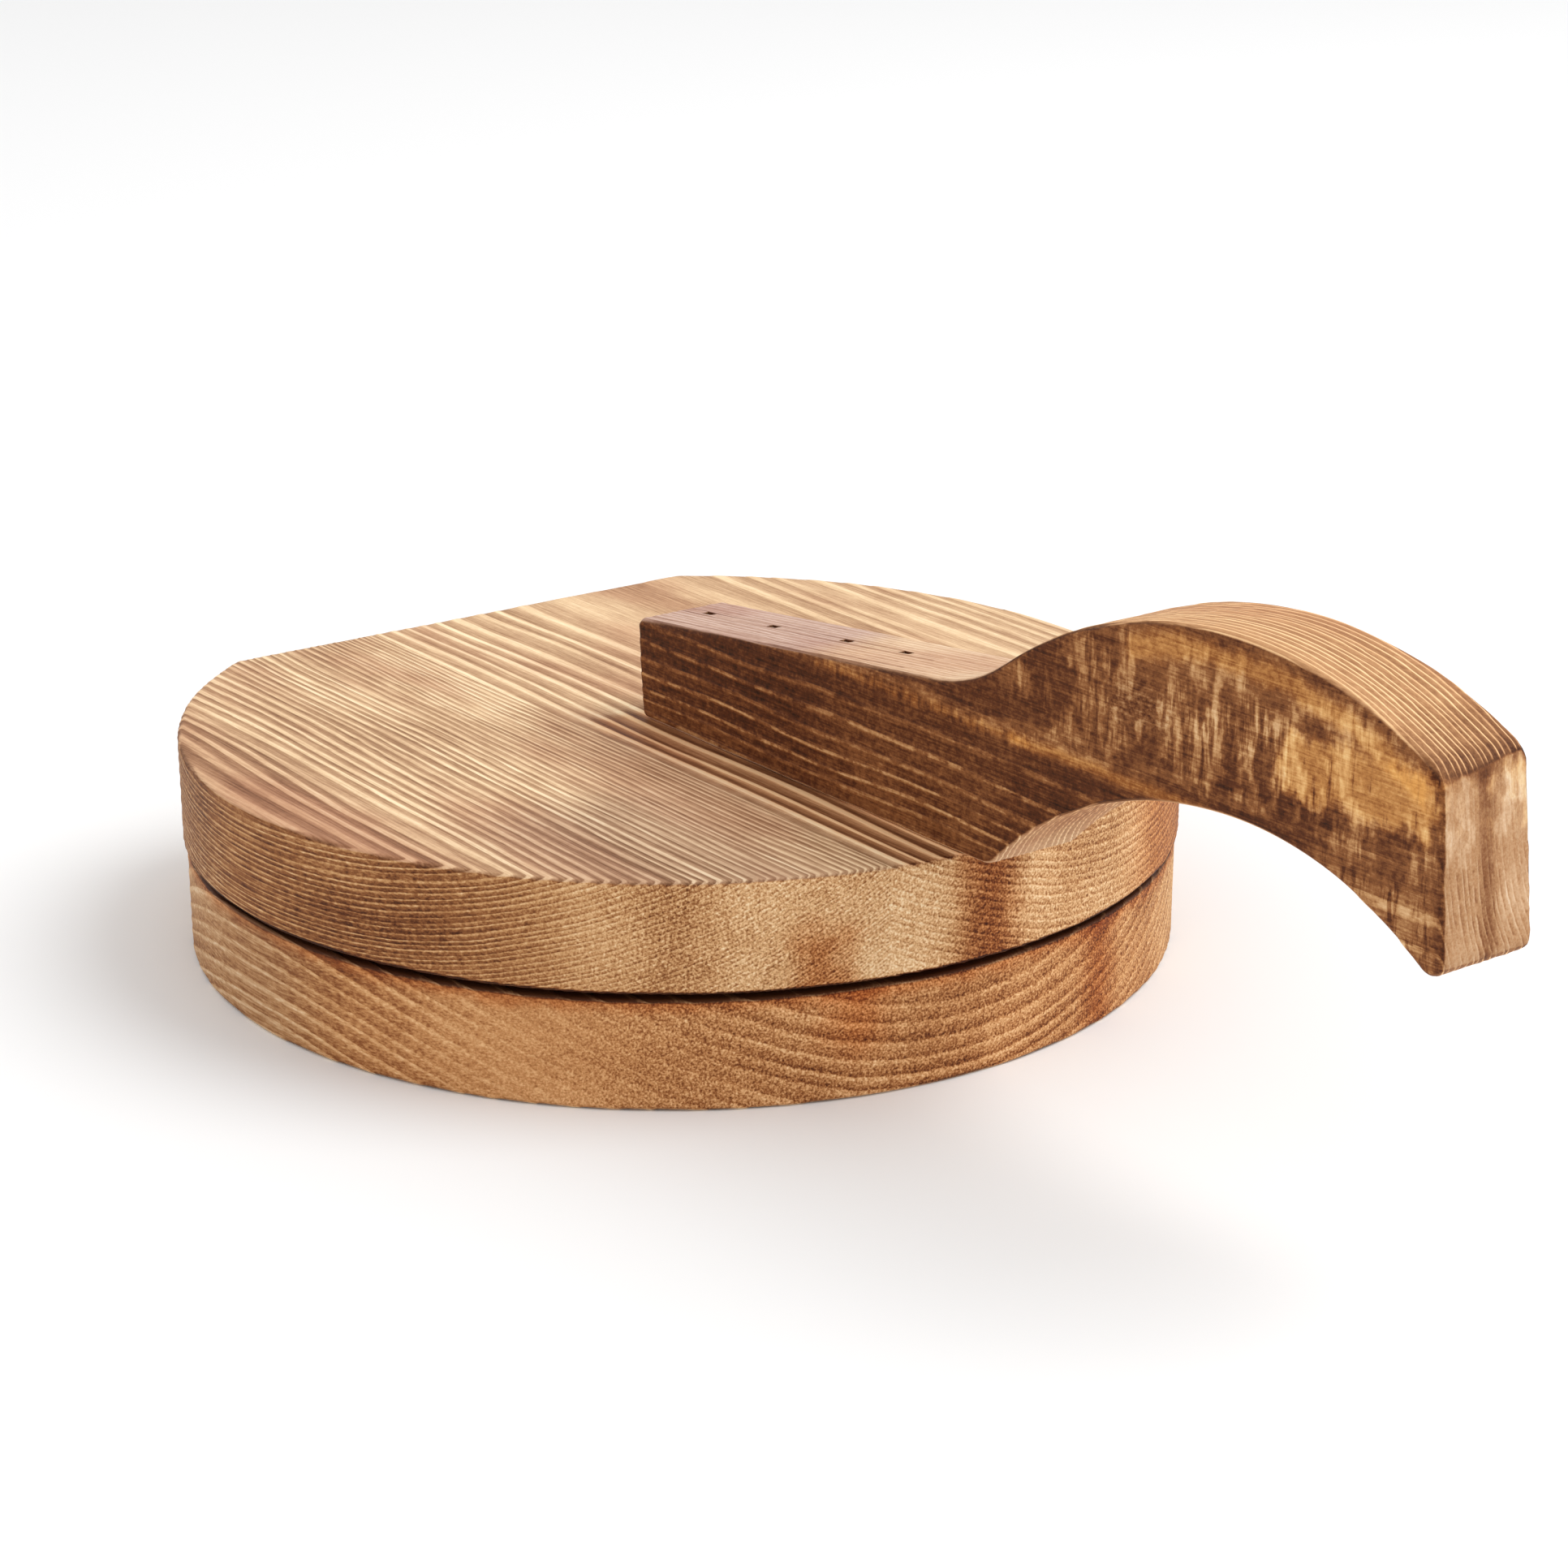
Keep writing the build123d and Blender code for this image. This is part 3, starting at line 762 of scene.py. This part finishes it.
def bore(piece, nodes, lift):
    # holes in the shape of the fasteners, a little larger, the pockets of sunk heads open at the top
    fit = boreShape["fit"] * mm
    for node in nodes:
        work = mergedCopy(node)
        bmesh.ops.recalc_face_normals(work, faces=work.faces)
        work.normal_update()
        for v in work.verts:
            rise = lift if v.normal.z > boreShape["topFrom"] else 0.0
            v.co += v.normal * fit + Vector((0, 0, rise))
        mesh = bpy.data.meshes.new("cutter")
        work.to_mesh(mesh)
        work.free()
        cutter = linked("cutter", mesh)
        modifier = piece.modifiers.new("bore", "BOOLEAN")
        modifier.object = cutter
        modifier.solver = "EXACT"
        settle(piece)
        bpy.data.objects.remove(cutter)


woodPieces = {  # how each is made, its wood, its shape, what is driven into it and the pockets' lift
    "upper_board": (makeBoard, upperWood, boardShape, ["left_upper_screws", "right_upper_screws"], 0.0),
    "lower_board": (makeBoard, lowerWood, boardShape, ["left_lower_screws", "right_lower_screws"], 0.0),
    "handle": (makeHandle, handleWood, handleShape, ["handle_brads"], boreShape["bradLift"]),
}
for node, (make, wood, shape, fasteners, lift) in woodPieces.items():
    piece = make(node + "_wood", node)
    brushRelief(piece, wood, shape["relief"], woods[node])
    bore(piece, fasteners, lift * mm)
    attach(piece, frame["nodes"][node]["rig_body"])
    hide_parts(node)
    print(node, "made,", len(piece.data.polygons), "faces")

# Hinges, pins and brads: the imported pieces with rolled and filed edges

metalEdges = {"leaf": 0.14, "pin": 0.12, "brad": 0.1}  # millimetres
metalAngles = {"oneFace": 0.5, "filed": 35, "crease": 32}  # degrees between facets


def easedCopy(node, name, width, material):
    work = mergedCopy(node)
    oneFace = math.radians(metalAngles["oneFace"])
    bmesh.ops.dissolve_limit(work, angle_limit=oneFace, verts=work.verts, edges=work.edges)
    mesh = bpy.data.meshes.new(name)
    work.to_mesh(mesh)
    work.free()
    mesh.materials.append(material)
    piece = linked(name, mesh)
    bevel = piece.modifiers.new("filedEdges", "BEVEL")
    bevel.width = width * mm
    bevel.segments = 2
    bevel.limit_method = "ANGLE"
    bevel.angle_limit = math.radians(metalAngles["filed"])
    settle(piece)
    piece.data.shade_smooth()
    piece.data.set_sharp_from_angle(angle=math.radians(metalAngles["crease"]))
    return piece


metalWear = {
    "stain": {"scale": (1 / 5, 1 / 5, 1 / 5), "detail": 4.0, "rough": 0.6},
    "spots": {"scale": (1.6, 1.6, 1.6), "detail": 3.0, "rough": 0.6},
    "toneStops": (0.3, 0.55, 0.75),  # of the stain, for the dark, middle and bright tones
    "spotSpan": (0.6, 0.72),
    "roughSpan": (0.3, 0.7),
    "stainShare": 0.6,  # of the stain in the roughness, the brush marks have the rest
    "brushShare": 0.4,
    "spotHeight": 0.6,
    "bump": 0.5,
    "bumpDistance": 0.02,  # millimetres
}


def metalMaterial(name, look):
    material, bench, place, _ = startMaterial(name)
    stain = bench.pattern(place, **metalWear["stain"])
    spots = bench.pattern(place, **metalWear["spots"])
    brushed = bench.pattern(place, look["brushed"])
    colour = bench.ramp(stain, list(zip(metalWear["toneStops"], (look["dark"], look["mid"], look["bright"]))))
    spotted = bench.remap(spots, *metalWear["spotSpan"], 0.0, look["spots"])
    colour = bench.tint(spotted, colour, look["tarnish"])
    stained = bench.maths("MULTIPLY", stain, metalWear["stainShare"])
    dull = bench.maths("ADD", stained, bench.maths("MULTIPLY", brushed, metalWear["brushShare"]))
    rough = bench.remap(dull, *metalWear["roughSpan"], *look["rough"])
    height = bench.maths("ADD", brushed, bench.maths("MULTIPLY", spots, metalWear["spotHeight"]))
    shader = finishShader(bench, colour, rough, height, metalWear["bump"], metalWear["bumpDistance"])
    shader.inputs["Metallic"].default_value = look["metallic"]
    return material


brassLook = {
    "dark": tone(186, 146, 84), "mid": tone(214, 176, 104), "bright": tone(230, 198, 128),
    "tarnish": tone(120, 84, 44), "spots": 0.4,
    "brushed": (1 / 6, 6.0, 6.0), "rough": (0.22, 0.42), "metallic": 1.0,
}
screwLook = dict(brassLook, mid=tone(214, 178, 108), brushed=(2.0, 2.0, 2.0), rough=(0.2, 0.4))
bradLook = {
    "dark": tone(64, 42, 30), "mid": tone(96, 68, 50), "bright": tone(134, 104, 80),
    "tarnish": tone(96, 52, 30), "spots": 0.7,
    "brushed": (3.0, 3.0, 0.4), "rough": (0.5, 0.8), "metallic": 0.3,  # scale and rust
}
brass = metalMaterial("brassPlate", brassLook)
wire = metalMaterial("brassWire", dict(brassLook, brushed=(8.0, 1 / 4, 1 / 4)))
screwBrass = metalMaterial("brassScrews", screwLook)
burntSteel = metalMaterial("burntSteel", bradLook)

hardware = [("handle_brads", "brads", metalEdges["brad"], burntSteel)]
for side in ("left", "right"):
    for row in ("lower", "upper"):
        hardware.append((f"{side}_{row}_leaf", "hinge_leaf", metalEdges["leaf"], brass))
    hardware.append((f"{side}_hinge_pin", "hinge_pin", metalEdges["pin"], wire))
for node, slotName, width, material in hardware:
    piece = easedCopy(node, node + "_metal", width, material)
    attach(piece, frame["nodes"][node]["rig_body"])
    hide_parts(node)
print("leaves, pins and brads made")


# Hinge screws: one threaded screw in a geometry tree, set on a point for each

screwShape = {
    "headHeight": 1.0,
    "rootShare": 0.76,  # core of the thread against its outside
    "pitch": 0.9,
    "recessLength": 2.1,  # 0.1 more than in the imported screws
    "recessWidth": 0.5,
    "recessDepth": 0.6,
    "headSides": 40,
    "shankSides": 28,
    "turnSteps": 20,  # of the thread, in each turn
    "ridgeSides": 4,
    "pointShare": 2.0,  # length of the point, in shank radii
    "tipRadius": 0.02,
    "overlap": 0.5,  # how far the shank runs up into the head, in head heights
    "threadStart": 1.6,  # from the head's top, in head heights
    "crease": 35,  # degrees
    "twistSeeds": {"lower": 7, "upper": 19},
}


def screwTree():
    tree = bpy.data.node_groups.new("hingeScrews", "GeometryNodeTree")
    face = tree.interface
    face.new_socket("Places", in_out="INPUT", socket_type="NodeSocketGeometry")
    sizes = ("Head Radius", "Head Height", "Shank Radius", "Root Share", "Length", "Pitch",
             "Recess Length", "Recess Width", "Recess Depth")
    sockets = {n: face.new_socket(n, in_out="INPUT", socket_type="NodeSocketFloat") for n in sizes}
    sockets["Seed"] = face.new_socket("Seed", in_out="INPUT", socket_type="NodeSocketInt")
    sockets["Finish"] = face.new_socket("Finish", in_out="INPUT", socket_type="NodeSocketMaterial")
    face.new_socket("Screws", in_out="OUTPUT", socket_type="NodeSocketGeometry")
    bench = Bench(tree)
    entry = bench.add("NodeGroupInput").outputs

    def spot(x=0.0, y=0.0, z=0.0):
        return bench.add("ShaderNodeCombineXYZ", {0: x, 1: y, 2: z}).outputs[0]

    def moved(shape, place):
        return bench.add("GeometryNodeTransform", {"Geometry": shape, "Translation": place}).outputs[0]

    def cone(sides, top, bottom, depth):
        sizes = {"Vertices": sides, "Radius Top": top, "Radius Bottom": bottom, "Depth": depth}
        return bench.add("GeometryNodeMeshCone", sizes).outputs[0]

    root = bench.maths("MULTIPLY", entry["Shank Radius"], entry["Root Share"])
    point = bench.maths("MULTIPLY", entry["Shank Radius"], screwShape["pointShare"])
    shankEnd = bench.maths("SUBTRACT", entry["Length"], point)
    below = {n: bench.maths("MULTIPLY", v, -1.0) for n, v in
             (("head", entry["Head Height"]), ("shank", shankEnd), ("length", entry["Length"]))}
    inHead = bench.maths("MULTIPLY", below["head"], screwShape["overlap"])
    sides = screwShape["shankSides"]
    head = cone(screwShape["headSides"], entry["Head Radius"], root, entry["Head Height"])
    shank = cone(sides, root, root, bench.maths("ADD", shankEnd, inHead))
    tip = cone(sides, root, screwShape["tipRadius"] * mm, point)
    bare = bench.maths("MULTIPLY", entry["Head Height"], screwShape["threadStart"])
    threadRun = bench.maths("SUBTRACT", shankEnd, bare)
    helix = bench.add("GeometryNodeCurveSpiral", {
        "Resolution": screwShape["turnSteps"], "Rotations": bench.maths("DIVIDE", threadRun, entry["Pitch"]),
        "Start Radius": root, "End Radius": root, "Height": threadRun}).outputs[0]
    ridge = bench.maths("SUBTRACT", entry["Shank Radius"], root)
    profile = {"Resolution": screwShape["ridgeSides"], "Radius": ridge}
    section = bench.add("GeometryNodeCurvePrimitiveCircle", profile).outputs[0]
    sweep = {"Curve": helix, "Profile Curve": section, "Fill Caps": True}
    thread = bench.add("GeometryNodeCurveToMesh", sweep).outputs[0]
    body = bench.add("GeometryNodeMeshBoolean", operation="UNION", solver="EXACT")
    stack = [(head, "head"), (shank, "shank"), (tip, "length"), (thread, "shank")]
    for shape, foot in stack:
        tree.links.new(moved(shape, spot(z=below[foot])), body.inputs[1])
    cross = bench.add("GeometryNodeMeshBoolean", operation="DIFFERENCE", solver="EXACT")
    tree.links.new(body.outputs["Mesh"], cross.inputs["Mesh 1"])
    # half of each of the recess's two boxes stands above the head
    deep = bench.maths("MULTIPLY", entry["Recess Depth"], 2.0)
    long, wide = entry["Recess Length"], entry["Recess Width"]
    for size in (spot(long, wide, deep), spot(wide, long, deep)):
        tree.links.new(bench.add("GeometryNodeMeshCube", {"Size": size}).outputs[0], cross.inputs["Mesh 2"])
    turns = {"Min": 0.0, "Max": math.pi, "Seed": entry["Seed"]}
    twist = bench.add("FunctionNodeRandomValue", turns, data_type="FLOAT").outputs[1]
    placed = bench.add("GeometryNodeInstanceOnPoints", {
        "Points": entry["Places"], "Instance": cross.outputs["Mesh"],
        "Rotation": spot(-math.pi / 2)}).outputs[0]
    turned = bench.add("GeometryNodeRotateInstances", {
        "Instances": placed, "Rotation": spot(z=twist), "Local Space": True}).outputs[0]
    real = bench.add("GeometryNodeRealizeInstances", {0: turned})
    done = bench.add("GeometryNodeSetMaterial", {"Geometry": real.outputs[0], "Material": entry["Finish"]})
    bench.add("NodeGroupOutput", {0: done.outputs[0]})
    return tree, {name: socket.identifier for name, socket in sockets.items()}


screws, screwInputs = screwTree()
for body, row in (("base", "lower"), ("lid", "upper")):
    places = []
    for side in ("left", "right"):
        low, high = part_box(f"{side}_{row}_screws")
        headRadius = (high.z - low.z) / 2
        places += [(x, high.y, (low.z + high.z) / 2) for x in (low.x + headRadius, high.x - headRadius)]
    mesh = bpy.data.meshes.new(f"{row}_hinge_screws")
    mesh.from_pydata(places, [], [])
    piece = linked(f"{row}_hinge_screws", mesh)
    modifier = piece.modifiers.new("hingeScrews", "NODES")
    modifier.node_group = screws
    values = {
        "Head Radius": headRadius, "Head Height": screwShape["headHeight"] * mm, "Length": high.y - low.y,
        "Shank Radius": headRadius - screwShape["headHeight"] * mm, "Root Share": screwShape["rootShare"],
        "Pitch": screwShape["pitch"] * mm, "Recess Length": screwShape["recessLength"] * mm,
        "Recess Width": screwShape["recessWidth"] * mm, "Recess Depth": screwShape["recessDepth"] * mm,
        "Seed": screwShape["twistSeeds"][row], "Finish": screwBrass,
    }
    for name, value in values.items():
        modifier[screwInputs[name]] = value
    settle(piece)
    piece.data.set_sharp_from_angle(angle=math.radians(screwShape["crease"]))
    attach(piece, body)
    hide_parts(f"left_{row}_screws", f"right_{row}_screws")
print("hinge screws made")


# Floor, light and camera

studio = {
    "floorSize": 6.0,
    "floorColour": (0.9, 0.9, 0.9, 1.0),
    "floorRoughness": 0.9,
    "worldStrength": 0.86,
    "keyPlace": (0.9, -0.7, 1.6),
    "keySize": 1.4,
    "keyPower": 19.0,
}


def makeFloor():
    half = studio["floorSize"] / 2
    mesh = bpy.data.meshes.new("floor")
    corners = [(-half, -half, 0), (half, -half, 0), (half, half, 0), (-half, half, 0)]
    mesh.from_pydata(corners, [], [(0, 1, 2, 3)])
    floor = linked("floor", mesh)
    material = bpy.data.materials.new("paleFloor")
    material.use_nodes = True
    shader = material.node_tree.nodes["Principled BSDF"]
    shader.inputs["Base Color"].default_value = studio["floorColour"]
    shader.inputs["Roughness"].default_value = studio["floorRoughness"]
    mesh.materials.append(material)


def makeLight():
    world = bpy.data.worlds.new("paleStudio")
    bpy.context.scene.world = world
    world.use_nodes = True
    background = world.node_tree.nodes["Background"]
    background.inputs["Color"].default_value = (1.0, 1.0, 1.0, 1.0)
    background.inputs["Strength"].default_value = studio["worldStrength"]
    key = bpy.data.lights.new("softKey", "AREA")
    key.shape = "DISK"
    key.size = studio["keySize"]
    key.energy = studio["keyPower"]
    lamp = linked("softKey", key)
    lamp.location = studio["keyPlace"]
    lamp.rotation_mode = "QUATERNION"
    lamp.rotation_quaternion = (-Vector(studio["keyPlace"])).to_track_quat("-Z", "Y")
    bpy.context.scene.view_settings.view_transform = "Standard"


view = {
    "azimuth": -36.74,  # degrees, from straight behind the -Y side
    "elevation": 18.99,
    "distance": 507.86,  # millimetres, from the middle of the upper board's top
    "offset": (-15.42, 11.61),  # where that middle is seen, right and up of the view's centre
    "lens": 77.37,
    "sensor": 36.0,
    "nearest": 0.01,  # metres, from where the camera sees
}


def makeCamera():
    a, e = math.radians(view["azimuth"]), math.radians(view["elevation"])
    back = Vector((math.sin(a) * math.cos(e), -math.cos(a) * math.cos(e), math.sin(e)))
    right = Vector((math.cos(a), math.sin(a), 0.0))
    up = back.cross(right)
    middle = Vector((0.0, 0.0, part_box("upper_board")[1].z))
    camera = bpy.data.cameras.new("camera")
    camera.lens = view["lens"]
    camera.sensor_width = view["sensor"]
    camera.clip_start = view["nearest"]
    body = linked("camera", camera)
    aside, above = right * view["offset"][0], up * view["offset"][1]
    body.location = middle + (back * view["distance"] - aside - above) * mm
    body.rotation_mode = "QUATERNION"
    body.rotation_quaternion = (-back).to_track_quat("-Z", "Y")
    bpy.context.scene.camera = body


makeFloor()
makeLight()
makeCamera()
print("floor, light and camera made")
